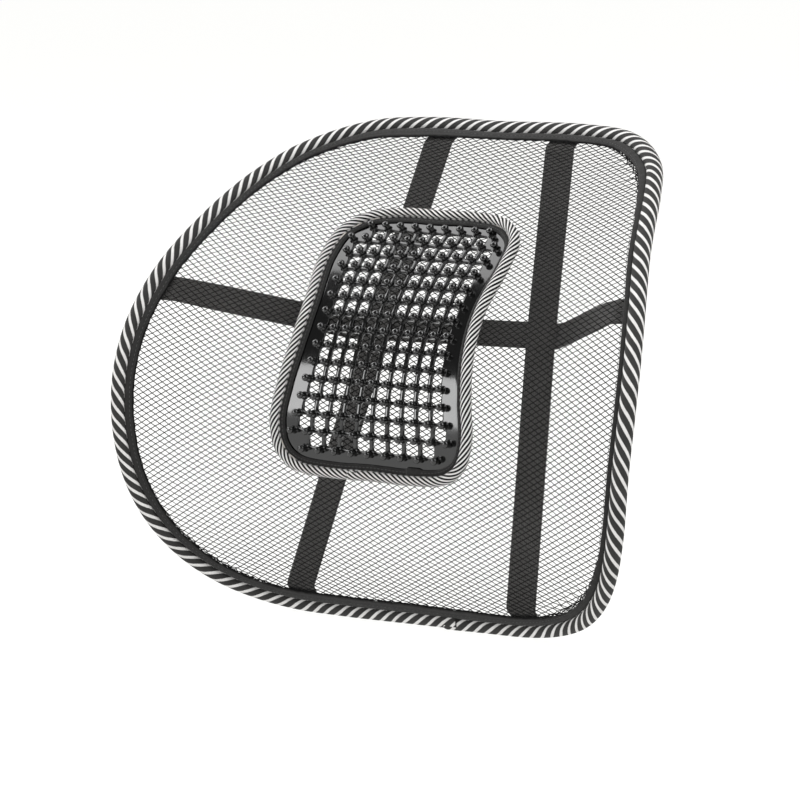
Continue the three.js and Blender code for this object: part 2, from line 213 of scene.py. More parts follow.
def signed_distance(points, outline):
    """Distance of flat points from a closed outline, positive inside it."""
    found = np.empty(len(points))
    ends = np.roll(outline, -1, axis=0)
    edge = ends - outline
    size = (edge**2).sum(axis=1)
    for first in range(0, len(points), CHUNK):
        p = points[first : first + CHUNK, None]
        share = np.clip(((p - outline) * edge).sum(axis=2) / size, 0, 1)
        gap = np.linalg.norm(p - outline - edge * share[..., None], axis=2).min(axis=1)
        below = outline[:, 1] > p[..., 1]
        crosses = below != (ends[:, 1] > p[..., 1])
        rise = np.where(np.abs(edge[:, 1]) < 1e-12, 1e-12, edge[:, 1])
        x = outline[:, 0] + edge[:, 0] * (p[..., 1] - outline[:, 1]) / rise
        inside = (crosses & (p[..., 0] < x)).sum(axis=1) % 2 == 1
        found[first : first + CHUNK] = np.where(inside, gap, -gap)
    return found


def ripple(along, length, seed, waves=(7, 13, 23, 41)):
    """A smooth unevenness from about -1 to 1 that closes on itself round a loop."""
    random = np.random.default_rng(seed)
    total = 0
    for wave in waves:
        total = total + np.sin(TAU * wave * along / length + random.uniform(0, TAU))
    return total / len(waves)


# ---- Mesh helpers ----


def make_object(name, points, faces, material, uv=None, smooth=True):
    """A linked mesh object from lists of points and faces, with a UV pair for each corner of a face."""
    mesh = bpy.data.meshes.new(name)
    mesh.from_pydata(points, [], faces)
    if uv is not None:
        layer = mesh.uv_layers.new(name="UVMap")
        layer.data.foreach_set("uv", np.array(uv, np.float32).ravel())
    mesh.polygons.foreach_set("use_smooth", [smooth] * len(mesh.polygons))
    mesh.materials.append(material)
    mesh.update()
    piece = bpy.data.objects.new(name, mesh)
    bpy.context.scene.collection.objects.link(piece)
    return piece


def grid_faces(rows, columns, closed=False):
    """Corner numbers (row, column) of the quads of a tube of rows, and its vertex numbers for them."""
    spans = np.arange(rows if closed else rows - 1)
    i, j = (part.ravel() for part in np.meshgrid(spans, np.arange(columns), indexing="ij"))
    corners = np.stack([[i, j], [i + 1, j], [i + 1, j + 1], [i, j + 1]]).transpose(2, 0, 1)
    faces = (corners[..., 0] % rows) * columns + corners[..., 1] % columns
    return corners, faces


def sweep(name, points, material, run, girth, closed=False):
    """A body from a grid of places: rows along it and columns round its section, counter-clockwise.
    run and girth are the lengths that its UV map covers along the rows and round the section."""
    rows, columns = points.shape[:2]
    corners, faces = grid_faces(rows, columns, closed)
    spans = rows if closed else rows - 1
    uv = np.stack([corners[..., 0] * (run / spans), corners[..., 1] * (girth / columns)], axis=-1)
    faces, uv = faces.tolist(), uv.reshape(-1, 2).tolist()
    if not closed:
        for row, order in ((0, 1), (rows - 1, -1)):
            faces.append([row * columns + k for k in range(columns)][::order])
            uv += [[row * run / spans, 0.0]] * columns
    piece = make_object(name, points.reshape(-1, 3).tolist(), faces, material, uv)
    face_outward(piece)
    return piece


def face_outward(piece):
    work = bmesh.new()
    work.from_mesh(piece.data)
    bmesh.ops.recalc_face_normals(work, faces=work.faces)
    work.to_mesh(piece.data)
    work.free()


def apply_modifiers(piece):
    bpy.context.view_layer.update()
    seen = piece.evaluated_get(bpy.context.evaluated_depsgraph_get())
    mesh = bpy.data.meshes.new_from_object(seen)
    piece.modifiers.clear()
    piece.data = mesh


def tangents(line):
    """Unit vectors along a line of points."""
    found = np.gradient(line, axis=0)
    return found / np.linalg.norm(found, axis=1, keepdims=True)


TUBE_SIDE_GUIDE = [0.31, -0.9, 0.3]  # turns the tubes' sections all alike
TUBE_TIP = 0.45  # share of the radius left at a tube's ends


def tubes(name, lines, radius, material, sides=6):
    """Many thin closed tubes as one piece, each one along a list of points."""
    points, faces, uv = [], [], []
    turn = TAU * np.arange(sides) / sides
    for line in lines:
        line = np.asarray(line)
        tangent = tangents(line)
        side = np.cross(tangent, TUBE_SIDE_GUIDE)
        side /= np.linalg.norm(side, axis=1, keepdims=True)
        over = np.cross(side, tangent)
        taper = np.full(len(line), radius)
        taper[[0, -1]] *= TUBE_TIP
        ring = np.cos(turn)[None, :, None] * side[:, None] + np.sin(turn)[None, :, None] * over[:, None]
        first = len(points)
        points += (line[:, None] + ring * taper[:, None, None]).reshape(-1, 3).tolist()
        corners, quads = grid_faces(len(line), sides)
        faces += (quads + first).tolist()
        step = np.linalg.norm(line[-1] - line[0]) / len(line)
        uv += (corners * [step, TAU * radius / sides]).reshape(-1, 2).tolist()
        last = first + (len(line) - 1) * sides
        for start, order in ((first, 1), (last, -1)):
            faces.append(list(range(start, start + sides))[::order])
            uv += [[0.0, 0.0]] * sides
    piece = make_object(name, points, faces, material, uv)
    face_outward(piece)
    return piece


# ---- Materials ----


class Nodes:
    """A material's node tree, built by short calls."""

    def __init__(self, name):
        self.material = bpy.data.materials.new(name)
        self.material.use_nodes = True
        self.tree = self.material.node_tree
        self.tree.nodes.clear()

    def add(self, kind, inputs=None, **settings):
        node = self.tree.nodes.new(kind)
        for key, value in settings.items():
            setattr(node, key, value)
        for key, value in (inputs or {}).items():
            if isinstance(value, bpy.types.NodeSocket):
                self.tree.links.new(value, node.inputs[key])
            else:
                node.inputs[key].default_value = value
        return node

    def math(self, operation, a, b=0.0, c=0.0):
        return self.add("ShaderNodeMath", {0: a, 1: b, 2: c}, operation=operation).outputs[0]

    def uv(self):
        """The UV map's two lengths, in metres: along the piece and round or across it."""
        source = self.add("ShaderNodeUVMap", uv_map="UVMap").outputs[0]
        parts = self.add("ShaderNodeSeparateXYZ", {0: source})
        return parts.outputs[0], parts.outputs[1]

    def noise(self, scale, detail=3.0, roughness=0.5):
        place = self.add("ShaderNodeTexCoord").outputs["Object"]
        inputs = {"Vector": place, "Scale": scale, "Detail": detail, "Roughness": roughness}
        return self.add("ShaderNodeTexNoise", inputs).outputs["Fac"]

    def wave(self, phase):
        """A wave from 0 to 1, one for each unit of phase."""
        sine = self.math("SINE", self.math("MULTIPLY", phase, TAU))
        return self.math("MULTIPLY_ADD", sine, 0.5, 0.5)

    def spread(self, value, low, high, to_low=0.0, to_high=1.0, smooth=False):
        inputs = {0: value, 1: low, 2: high, 3: to_low, 4: to_high}
        kind = "SMOOTHSTEP" if smooth else "LINEAR"
        return self.add("ShaderNodeMapRange", inputs, interpolation_type=kind).outputs[0]

    def mix(self, share, a, b):
        inputs = {0: share, 6: a, 7: b}
        return self.add("ShaderNodeMix", inputs, data_type="RGBA").outputs[2]

    def finish(self, color, roughness, height=None, bump=0.2 * MM, strength=0.6, **constants):
        inputs = {"Base Color": color, "Roughness": roughness}
        inputs.update({key.replace("_", " "): value for key, value in constants.items()})
        if height is not None:
            relief = {"Height": height, "Distance": bump, "Strength": strength}
            inputs["Normal"] = self.add("ShaderNodeBump", relief).outputs[0]
        shader = self.add("ShaderNodeBsdfPrincipled", inputs).outputs[0]
        self.tree.links.new(shader, self.add("ShaderNodeOutputMaterial").inputs[0])
        return self.material


def grey(value, warmth=0.0):
    return (value * (1 + warmth), value, value * (1 - warmth), 1.0)


def striped_fabric(name, period, slant, white_share, yarn, darkest, dark_yarn, fade):
    """A tape with slanted white stripes, wrapped round a roll, with yarns that follow the stripes."""
    nodes = Nodes(name)
    along, around = nodes.uv()
    wobble = nodes.math("MULTIPLY", nodes.math("SUBTRACT", nodes.noise(38), 0.5), 0.42)
    phase = nodes.math("MULTIPLY_ADD", around, -slant / period, nodes.math("DIVIDE", along, period))
    phase = nodes.math("ADD", phase, wobble)
    centre = nodes.math("ABSOLUTE", nodes.math("SUBTRACT", nodes.math("FRACT", phase), 0.5))
    ragged = nodes.math("MULTIPLY_ADD", nodes.noise(1500, 2.0), 0.05, centre)
    half = white_share / 2 + 0.025
    white = nodes.spread(ragged, half - fade, half + fade, 1.0, 0.0, smooth=True)
    ribs = nodes.wave(nodes.math("MULTIPLY", phase, period / yarn))
    cross = nodes.wave(nodes.math("DIVIDE", nodes.math("ADD", around, along), yarn * 1.3))
    weave = nodes.math("MULTIPLY", ribs, nodes.math("MULTIPLY_ADD", cross, 0.6, 0.4))
    shade = nodes.math("MULTIPLY_ADD", nodes.noise(90), 0.5, nodes.math("MULTIPLY", weave, 0.5))
    dark = nodes.mix(shade, grey(darkest, 0.02), grey(dark_yarn, 0.02))
    light = nodes.mix(shade, grey(0.56, 0.02), grey(0.93, 0.01))
    height = nodes.math("MULTIPLY_ADD", white, 0.8, nodes.math("MULTIPLY", weave, 0.6))
    roughness = nodes.spread(shade, 0.0, 1.0, 0.92, 0.72)
    return nodes.finish(
        nodes.mix(white, dark, light), roughness, height, 0.22 * MM,
        Sheen_Weight=0.05, Sheen_Roughness=0.5, Specular_IOR_Level=0.12,
    )


def black_tape():
    """Folded binding tape: fine ribs across it."""
    nodes = Nodes("black_tape")
    along, around = nodes.uv()
    ribs = nodes.wave(nodes.math("DIVIDE", along, 0.62 * MM))
    warp = nodes.wave(nodes.math("DIVIDE", around, 0.45 * MM))
    weave = nodes.math("MULTIPLY", ribs, nodes.math("MULTIPLY_ADD", warp, 0.5, 0.5))
    fuzz = nodes.noise(700, 4.0, 0.6)
    shade = nodes.math("MULTIPLY_ADD", weave, 0.45, nodes.math("MULTIPLY", fuzz, 0.55))
    color = nodes.mix(shade, grey(0.007, 0.02), grey(0.042, 0.02))
    height = nodes.math("MULTIPLY_ADD", fuzz, 0.4, weave)
    return nodes.finish(
        color, nodes.spread(shade, 0.0, 1.0, 0.95, 0.75), height, 0.12 * MM,
        Sheen_Weight=0.12, Sheen_Roughness=0.45, Specular_IOR_Level=0.15,
    )


def net_yarn():
    """Twisted polyester yarn."""
    nodes = Nodes("net_yarn")
    along, around = nodes.uv()
    turn = nodes.math("MULTIPLY_ADD", around, 1 / YARN_WIDTH, nodes.math("DIVIDE", along, 1.1 * MM))
    twist = nodes.wave(turn)
    shade = nodes.math("MULTIPLY_ADD", nodes.noise(60), 0.5, nodes.math("MULTIPLY", twist, 0.5))
    color = nodes.mix(shade, grey(0.002), grey(0.012))
    return nodes.finish(
        color, nodes.spread(shade, 0.0, 1.0, 0.85, 0.65), twist, 0.05 * MM, Specular_IOR_Level=0.1
    )


def elastic(name, rib):
    """Elastic webbing: lengthwise ribs, each a row of slanted floats that turns back at the next rib."""
    nodes = Nodes(name)
    along, across = nodes.uv()
    turned = nodes.math("PINGPONG", across, rib)
    floats = nodes.wave(nodes.math("DIVIDE", nodes.math("ADD", along, turned), 1.05 * MM))
    ribs = nodes.wave(nodes.math("DIVIDE", across, rib))
    fuzz = nodes.noise(500, 4.0, 0.6)
    weave = nodes.math("MULTIPLY_ADD", ribs, 0.35, nodes.math("MULTIPLY", floats, 0.65))
    shade = nodes.math("MULTIPLY_ADD", weave, 0.65, nodes.math("MULTIPLY", fuzz, 0.35))
    color = nodes.mix(shade, grey(0.012, 0.03), grey(0.14, 0.03))
    return nodes.finish(
        color, nodes.spread(shade, 0.0, 1.0, 0.9, 0.6), weave, 0.16 * MM,
        Sheen_Weight=0.1, Sheen_Roughness=0.5, Specular_IOR_Level=0.2,
    )


def glossy_plastic():
    nodes = Nodes("black_plastic")
    broad = nodes.noise(35, 3.0)
    fine = nodes.noise(900, 2.0)
    color = nodes.mix(broad, grey(0.001), grey(0.003))
    height = nodes.math("MULTIPLY_ADD", fine, 0.2, nodes.math("MULTIPLY", broad, 0.8))
    return nodes.finish(
        color, nodes.spread(broad, 0.3, 0.7, 0.07, 0.15), height, 0.15 * MM, strength=0.35,
        Specular_IOR_Level=0.6, Coat_Weight=0.3, Coat_Roughness=0.06,
    )


def sewing_thread():
    nodes = Nodes("sewing_thread")
    along, around = nodes.uv()
    twist = nodes.wave(nodes.math("DIVIDE", nodes.math("ADD", along, around), 0.35 * MM))
    color = nodes.mix(twist, grey(0.015), grey(0.085))
    return nodes.finish(color, nodes.spread(twist, 0.0, 1.0, 0.7, 0.5), twist, 0.05 * MM)


def steel(name, scale, detail, dark, light, roughness, bump):
    """Worn steel, mottled from dark and smooth to light and rough."""
    nodes = Nodes(name)
    worn = nodes.noise(scale, 5.0, detail)
    rough = nodes.spread(worn, 0.0, 1.0, *roughness)
    return nodes.finish(nodes.mix(worn, dark, light), rough, worn, bump, Metallic=1.0)


def tube_foam():
    nodes = Nodes("tube_foam")
    place = nodes.add("ShaderNodeTexCoord").outputs["Object"]
    cells = nodes.add("ShaderNodeTexVoronoi", {"Vector": place, "Scale": 1400.0}).outputs[0]
    color = nodes.mix(cells, grey(0.03), grey(0.09))
    return nodes.finish(color, nodes.spread(cells, 0.0, 1.0, 0.98, 0.85), cells, 0.3 * MM)


def cotton_cord():
    nodes = Nodes("cotton_cord")
    strands = nodes.noise(420, 4.0, 0.6)
    color = nodes.mix(strands, grey(0.5, 0.08), grey(0.8, 0.06))
    return nodes.finish(color, nodes.spread(strands, 0.0, 1.0, 0.95, 0.8), strands, 0.25 * MM)


def studio_floor():
    nodes = Nodes("studio_floor")
    mottle = nodes.noise(0.8, 2.0)
    color = nodes.mix(mottle, grey(0.13, 0.004), grey(0.15, 0.004))
    return nodes.finish(
        color, nodes.spread(mottle, 0.0, 1.0, 0.9, 0.96),
        Specular_IOR_Level=0.05, Emission_Color=(1.0, 1.0, 0.985, 1.0), Emission_Strength=0.96,
    )


STRIPED = striped_fabric(
    "striped_tape", ROLL_STRIPE_PERIOD, ROLL_STRIPE_SLANT,
    white_share=0.34, yarn=0.72 * MM, darkest=0.018, dark_yarn=0.06, fade=0.03,
)
FINE_STRIPED = striped_fabric(
    "fine_striped_tape", PIPING_STRIPE_PERIOD, PIPING_STRIPE_SLANT,
    white_share=0.45, yarn=0.56 * MM, darkest=0.003, dark_yarn=0.015, fade=0.02,
)
TAPE = black_tape()
YARN = net_yarn()
BAND_ELASTIC = elastic("band_elastic", 1.5 * MM)
STRAP_ELASTIC = elastic("strap_elastic", 1.3 * MM)
PLASTIC = glossy_plastic()
THREAD = sewing_thread()

# ---- The hoop's striped roll and its binding ----

ROLL_JOIN = 0.4725  # share of the loop where the roll's cover begins and ends
ROLL_LAP = 11 * MM
JOIN_STEP = 1.9 * MM  # how far the cover's beginning lies inward of its end
JOIN_FADE = 55 * MM
ROLL_STEP = 1.6 * MM
ROLL_SIDES = 28
LAP_EASE = 1.6  # the lap's rise begins this many laps before the cover's end
TURN_IN = 1.2 * MM
TURN_IN_DEPTH = 0.75
ROLL_UNEVENNESS = 0.018
SEAM_DEPTH = 0.1
SEAM_WIDTH = 0.35  # radians round the section


def wrapped_roll(name, loop, height, radius, join, lap, lap_rise, step, sides, material, seed):
    """A striped cover round a core, whose end is turned in and laps over its beginning. It is joined at
    the share join of the loop, where its beginning lies inward of its end by the step."""
    run = loop.length + lap
    rows = int(run / ROLL_STEP)
    travel = np.linspace(0, run, rows)
    along = join * loop.length + travel
    # Round the section from the inner seam, over the front, to the outside and the back.
    turn = np.pi - TAU * (np.arange(sides) + 0.5) / sides
    left = run - travel
    over = np.clip(1 - left / (lap * LAP_EASE), 0, 1)
    rise = lap_rise * over * (3 - 2 * np.sqrt(over))
    turned_in = np.clip(1 - left / TURN_IN, 0, 1) ** 2
    size = radius + rise - turned_in * lap_rise * TURN_IN_DEPTH
    size = size * (1 + ROLL_UNEVENNESS * ripple(travel, loop.length, seed))
    seam = 1 - SEAM_DEPTH * np.exp(-(((np.abs(turn) - np.pi) / SEAM_WIDTH) ** 2))
    reach = size[:, None] * seam[None]
    outward = reach * np.cos(turn)
    raised = height + reach * np.sin(turn)
    inset = step * np.clip(1 - travel / JOIN_FADE, 0, 1) ** 2
    points = loop.place(along[:, None], outward - inset[:, None], raised)
    return sweep(name, points, material, run, TAU * radius)


edge_roll = wrapped_roll(
    "edge_roll", HOOP, 0.0, ROLL_RADIUS, join=ROLL_JOIN, lap=ROLL_LAP, lap_rise=0.55 * MM,
    step=JOIN_STEP, sides=ROLL_SIDES, material=STRIPED, seed=3,
)
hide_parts("edge_roll_cover")

BINDING_HALF_THICKNESS = 1.15 * MM
BINDING_SIDES = 24
BINDING_STEP = 1.5 * MM
BINDING_GIRTH = 13 * MM
BINDING_WAVE = 0.45 * MM
BINDING_PUFF = 0.12
GROOVE_PLACE = 0.62  # of the stitched groove, as a share of the half width
GROOVE_WIDTH = 0.5 * MM
GROOVE_DEPTH = 0.3 * MM

# How much further inward than BINDING_INNER the binding reaches: (share of the hoop's length, mm).
BINDING_EXTRA = [
    (0.0, 0.5), (0.014, 1.0), (0.06, 0.6), (0.1, 0.0), (0.15, -2.4), (0.2, -3.2), (0.3, -3.2),
    (0.36, -2.8), (0.4, -0.8), (0.43, 1.2), (0.45, 2.4), (0.47, 3.0), (0.5, 2.6), (0.54, 2.8),
    (0.575, 2.5), (0.62, 1.2), (0.7, 0.0), (0.86, 0.0), (0.9, 1.2), (0.93, 2.8), (0.955, 3.2),
    (0.975, 1.4),
]
EXTRA_STATIONS = 600
EXTRA_EASE = 8  # stations on each side that its corners are eased over


def binding_extra(along):
    share, extra = np.array(BINDING_EXTRA).T
    even = np.arange(EXTRA_STATIONS) / EXTRA_STATIONS
    cornered = np.interp(even, share, extra, period=1.0)
    shifts = range(-EXTRA_EASE, EXTRA_EASE + 1)
    smooth = sum(np.roll(cornered, k) for k in shifts) / len(shifts)
    return np.interp(along / HOOP.length, even, smooth, period=1.0) * MM


def squared(wave, power):
    """A sine or cosine whose peaks are broadened by a power below 1."""
    return np.sign(wave) * np.abs(wave) ** power


def edge_binding():
    """The folded black tape between the roll and the net: a plump flat section, a little uneven."""
    rows = int(HOOP.length / BINDING_STEP)
    along = np.arange(rows) * HOOP.length / rows
    turn = TAU * np.arange(BINDING_SIDES) / BINDING_SIDES
    centre = -(BINDING_OUTER + BINDING_INNER) / 2
    half = (BINDING_INNER - BINDING_OUTER) / 2
    across = squared(np.cos(turn), 0.75) * half
    up = squared(np.sin(turn), 0.8) * BINDING_HALF_THICKNESS
    inner = (across < 0) * (np.abs(across) / half) ** 2
    wave = ripple(along, HOOP.length, 5, (29, 53, 97, 151))
    puff = 1 + BINDING_PUFF * ripple(along, HOOP.length, 8, (61, 101, 173, 211))
    wider = binding_extra(along) + BINDING_WAVE * wave
    outward = centre + across[None] - inner[None] * wider[:, None]
    groove = GROOVE_DEPTH * np.exp(-(((across + half * GROOVE_PLACE) / GROOVE_WIDTH) ** 2))
    height = up[None] * puff[:, None] - np.sign(up)[None] * groove[None]
    points = HOOP.place(along[:, None], outward, height)
    return sweep("edge_binding", points, TAPE, HOOP.length, BINDING_GIRTH, closed=True)


binding = edge_binding()
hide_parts("edge_binding_tape")

STITCH_PITCH = 3.1 * MM
STITCH_LENGTH = 2.3 * MM
STITCH_RADIUS = 0.19 * MM
STITCH_ARCH = np.array([-0.2, 0.14, 0.2, 0.14, -0.2]) * MM  # heights over the cloth, end to end
BINDING_STITCH = BINDING_INNER - 1.75 * MM
BINDING_STITCH_HEIGHT = BINDING_HALF_THICKNESS * 0.72


def row_of_stitches(place, length, pitch=STITCH_PITCH):
    """Centre lines of a row of stitches, each one arching out of the cloth. place takes the distance
    along the row and the height above the cloth."""
    lines = []
    for k in range(int(length / pitch)):
        along = (k + 0.5) * pitch + np.linspace(-0.5, 0.5, len(STITCH_ARCH)) * STITCH_LENGTH
        lines.append(place(along, STITCH_ARCH))
    return lines


def edge_stitches():
    lines = []
    for side in (1, -1):
        lines += row_of_stitches(
            lambda along, up: HOOP.place(along, -BINDING_STITCH, side * (BINDING_STITCH_HEIGHT + up)),
            HOOP.length,
        )
    return tubes("edge_stitches", lines, STITCH_RADIUS, THREAD)


stitches = edge_stitches()

# ---- The stretched net ----

NET_EDGE = 7.0 * MM  # the net ends inside the binding tape
NET_WEAVE = 0.2 * MM  # how far a thread swings to pass over and under its neighbours
DIAMOND_SIDE = DIAMOND_WIDTH * 0.575
STRAND_SIDE = YARN_WIDTH * 0.65
PUCKER_REACH = 13 * MM
PUCKER_DEPTH = 1.5 * MM
PUCKER_PITCH = 8.5 * MM
PUCKER_DRIFT = 2.2  # radians that the puckers stray from their pitch
PUCKER_DRIFTS = 17  # times round the hoop
# Where the net bunches up beside the binding: (share of the hoop's length, spread, strength).
PUCKERS = [
    (0.105, 0.022, 0.8), (0.385, 0.035, 1.0), (0.615, 0.04, 0.9), (0.90, 0.03, 0.5), (0.5, 0.05, 0.35),
]


def outline(loop, outward, count=360):
    return loop.flat(np.arange(count) * loop.length / count, outward)


def nearest_along(points, loop, count=720):
    along = np.arange(count) * loop.length / count
    line = loop.point(along)
    parts = np.array_split(points, 1 + len(points) // CHUNK)
    nearest = [np.argmin(((part[:, None] - line) ** 2).sum(axis=2), axis=1) for part in parts]
    return along[np.concatenate(nearest)]


def pucker_strength(along):
    around = along / HOOP.length
    return sum(power * np.exp(-(((around - place) / width) ** 2)) for place, width, power in PUCKERS)


def panel_height(points):
    """How far the stretched net lies in front of the hoop's surface."""
    from_pad = np.maximum(-signed_distance(points, outline(PIPING, 0.0)), 0)
    from_mouth = np.maximum(signed_distance(points, outline(HOOP, -BINDING_INNER)), 0)
    share = from_pad / np.maximum(from_pad + from_mouth, 1e-6)
    flat = -PANEL_SAG * (1 - np.where(from_mouth == 0, 1.0, share))
    along = nearest_along(points, HOOP)
    near = np.clip(1 - from_mouth / PUCKER_REACH, 0, 1) * np.clip(from_mouth / (2 * MM), 0, 1)
    drift = PUCKER_DRIFT * np.sin(TAU * PUCKER_DRIFTS * along / HOOP.length)
    wave = np.sin(TAU * along / PUCKER_PITCH + drift)
    return flat + PUCKER_DEPTH * pucker_strength(along) * near**1.5 * wave


def net_threads():
    """The net's threads, as lists of flat points with the side each point passes its neighbour on."""
    edge = outline(HOOP, -NET_EDGE)
    across, up = DIAMOND_WIDTH / 2, DIAMOND_HEIGHT / 2
    reach = int(1.1 * (np.ptp(edge[:, 0]) / DIAMOND_WIDTH + np.ptp(edge[:, 1]) / DIAMOND_HEIGHT) / 2) + 2
    i, j = np.meshgrid(np.arange(-reach, reach + 1), np.arange(-reach, reach + 1), indexing="ij")
    nodes = np.stack([(i - j) * across, (i + j) * up], axis=-1)
    inside = signed_distance(nodes.reshape(-1, 2), edge).reshape(i.shape)
    over = np.where((i + j) % 2 == 0, 1.0, -1.0)
    threads = []
    for family in (1, -1):
        for row in range(len(i)):
            place, depth, side = (
                (a[row] if family > 0 else a[:, row]) for a in (nodes, inside, over * family)
            )
            kept = np.flatnonzero(depth > 0)
            if len(kept) < 2:
                continue
            first, last = kept[0], kept[-1]
            line, sides = list(place[first : last + 1]), list(side[first : last + 1])
            for end, beyond in ((first, first - 1), (last, last + 1)):
                part = depth[end] / (depth[end] - depth[beyond])
                tip = place[end] + (place[beyond] - place[end]) * part
                if beyond < end:
                    line.insert(0, tip)
                    sides.insert(0, 0.0)
                else:
                    line.append(tip)
                    sides.append(0.0)
            threads.append((np.array(line), np.array(sides)))
    return threads


def mesh_net():
    """Every thread is a four-sided strand that passes over and under its neighbours."""
    threads = net_threads()
    flat = np.concatenate([line for line, _ in threads])
    sides = np.concatenate([side for _, side in threads])
    centre = bent(flat[:, 0], flat[:, 1], panel_height(flat) + sides * NET_WEAVE)
    lean = lean_at(flat[:, 1])
    normal = np.stack([np.zeros_like(lean), -np.cos(lean), np.sin(lean)], axis=1)
    points, faces, uv = [], [], []
    first = 0
    for line, _ in threads:
        here = slice(first, first + len(line))
        side = np.cross(tangents(centre[here]), normal[here])
        wide = side * YARN_WIDTH / 2
        thick = normal[here] * YARN_THICKNESS / 2
        ring = np.stack([wide, thick, -wide, -thick], axis=1)
        points.append((centre[here][:, None] + ring).reshape(-1, 3))
        corners, quads = grid_faces(len(line), 4)
        faces.append(quads + first * 4)
        uv.append(corners * [DIAMOND_SIDE, STRAND_SIDE])
        first += len(line)
    points, faces = np.concatenate(points).tolist(), np.concatenate(faces).tolist()
    return make_object("mesh_net", points, faces, YARN, np.concatenate(uv))


net = mesh_net()
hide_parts("mesh_panel")

HEM_STRANDS = 5
HEM_STEP = 1.1 * MM
HEM_RADIUS = 0.26 * MM
HEM_SIDES = 5
HEM_START = -0.3 * MM  # of the first strand, inward from the binding's edge
HEM_DEPTH = 0.26 * MM
# How far apart the strands are, and how far they sway and rise, in mm: taut, and more where puckered.
HEM_SPREAD = (0.22, 0.45)
HEM_SWAY = (0.35, 0.9)
HEM_RISE = (0.4, 0.7)


def net_tucks():
    """The net's gathered edge beside the binding: wavy strands along it, wider apart at the puckers."""
    along = np.append(np.arange(int(HOOP.length / HEM_STEP)) * HEM_STEP, 0.0)
    strength = pucker_strength(along)
    spread, sway, rise = (
        (taut + puckered * strength) * MM for taut, puckered in (HEM_SPREAD, HEM_SWAY, HEM_RISE)
    )
    lines = []
    for strand in range(HEM_STRANDS):
        waves = (37 + 6 * strand, 83 + 4 * strand, 151, 211 + 10 * strand)
        swayed = sway * ripple(along, HOOP.length, 40 + strand, waves)
        risen = rise * ripple(along, HOOP.length, 60 + strand, waves)
        inward = BINDING_INNER + binding_extra(along) + HEM_START + strand * spread + swayed
        lines.append(HOOP.place(along, -inward, risen - HEM_DEPTH))
    return tubes("net_tucks", lines, HEM_RADIUS, YARN, HEM_SIDES)


tucks = net_tucks()

# ---- The massage plate ----

CELL_STEPS = 6  # points along one side of a window cell
WINDOW_CORNER = 2.2 * MM
MARGIN_RINGS = 3
# A pin's outline, as (height above the plate, radius) in mm.
PIN_OUTLINE = [
    (-0.5, 3.0), (0.0, 2.9), (0.4, 2.5), (1.0, 2.2), (2.0, 2.05), (2.8, 2.05), (3.4, 2.25),
    (4.1, 2.45), (4.8, 2.4), (5.4, 2.05), (5.85, 1.4), (6.05, 0.7),
]
PIN_SIDES = 16
PIN_CROWN = 0.04 * MM  # the middle of its head over the outline's last point
PLATE_BEVEL = 0.42 * MM
BEVEL_SEGMENTS = 2
BEVEL_FROM = math.radians(50)


def column_pitch(row):
    end = np.where(row < WAIST_ROW, TOP_PITCH, BOTTOM_PITCH)
    from_waist = np.minimum(np.abs(row - WAIST_ROW) / WAIST_ROW, 1)
    return WAIST_PITCH + (end - WAIST_PITCH) * from_waist**2


def is_pin(column, row):
    inside = 0 <= column < PIN_COLUMNS and 0 <= row < PIN_ROWS
    at_corner = row in (0, PIN_ROWS - 1) and column in (0, PIN_COLUMNS - 1)
    return inside and not at_corner


def is_window(column, row):
    return all(is_pin(column + right, row + down) for right in (0, 1) for down in (0, 1))


def lattice_place(column, row):
    """A flat point of the lattice, with straight lines between the rows of pins."""
    above = np.floor(row)
    part = row - above
    pitch = column_pitch(above) * (1 - part) + column_pitch(above + 1) * part
    return (column - (PIN_COLUMNS - 1) / 2) * pitch, PIN_TOP_ROW - row * ROW_PITCH


def square_ring():
    """Points round a square from -1 to 1, CELL_STEPS on each side."""
    side = [(-1 + 2 * k / CELL_STEPS, -1) for k in range(CELL_STEPS)]
    ring = []
    for _ in range(4):
        ring += side
        side = [(-y, x) for x, y in side]
    return ring


def window_point(x, y, half_x, half_y):
    """The point of a window's rounded outline that faces the point (x, y) of its cell's square."""
    straight_x, straight_y = half_x - WINDOW_CORNER, half_y - WINDOW_CORNER
    px, py = x * half_x, y * half_y
    over_x, over_y = abs(px) - straight_x, abs(py) - straight_y
    if over_x <= 0 or over_y <= 0:
        return px, py
    scale = WINDOW_CORNER / math.hypot(over_x, over_y)
    return (
        math.copysign(straight_x + over_x * scale, px),
        math.copysign(straight_y + over_y * scale, py),
    )


def plate_face():
    """The plate's flat front: rings of faces round each window, and rings out to its edge."""
    keys, points, faces = {}, [], []

    def vertex(key, place):
        if key not in keys:
            keys[key] = len(points)
            points.append((place[0], place[1], 0.0))
        return keys[key]

    edges = set()
    for row in range(PIN_ROWS - 1):
        for column in range(PIN_COLUMNS - 1):
            if not is_window(column, row):
                continue
            cx, cs = lattice_place(column + 0.5, row + 0.5)
            half_x = (lattice_place(column + 1, row + 0.5)[0] - cx) - BAR_WIDTH / 2
            half_s = ROW_PITCH / 2 - BAR_WIDTH / 2
            outer, inner = [], []
            for x, y in square_ring():
                u = column * CELL_STEPS + round((x + 1) / 2 * CELL_STEPS)
                v = row * CELL_STEPS + round((y + 1) / 2 * CELL_STEPS)
                outer.append(vertex((u, v), lattice_place(u / CELL_STEPS, v / CELL_STEPS)))
                wx, wy = window_point(x, y, half_x, half_s)
                inner.append(vertex((u, v, column, row), (cx + wx, cs - wy)))
            for k in range(len(outer)):
                n = (k + 1) % len(outer)
                faces.append((outer[k], inner[k], inner[n], outer[n]))
                edges.add((outer[k], outer[n]))
    border = {a: b for a, b in edges if (b, a) not in edges}
    ring = [min(border)]
    while border[ring[-1]] != ring[0]:
        ring.append(border[ring[-1]])
    faces += margin_faces(points, ring)
    return points, faces


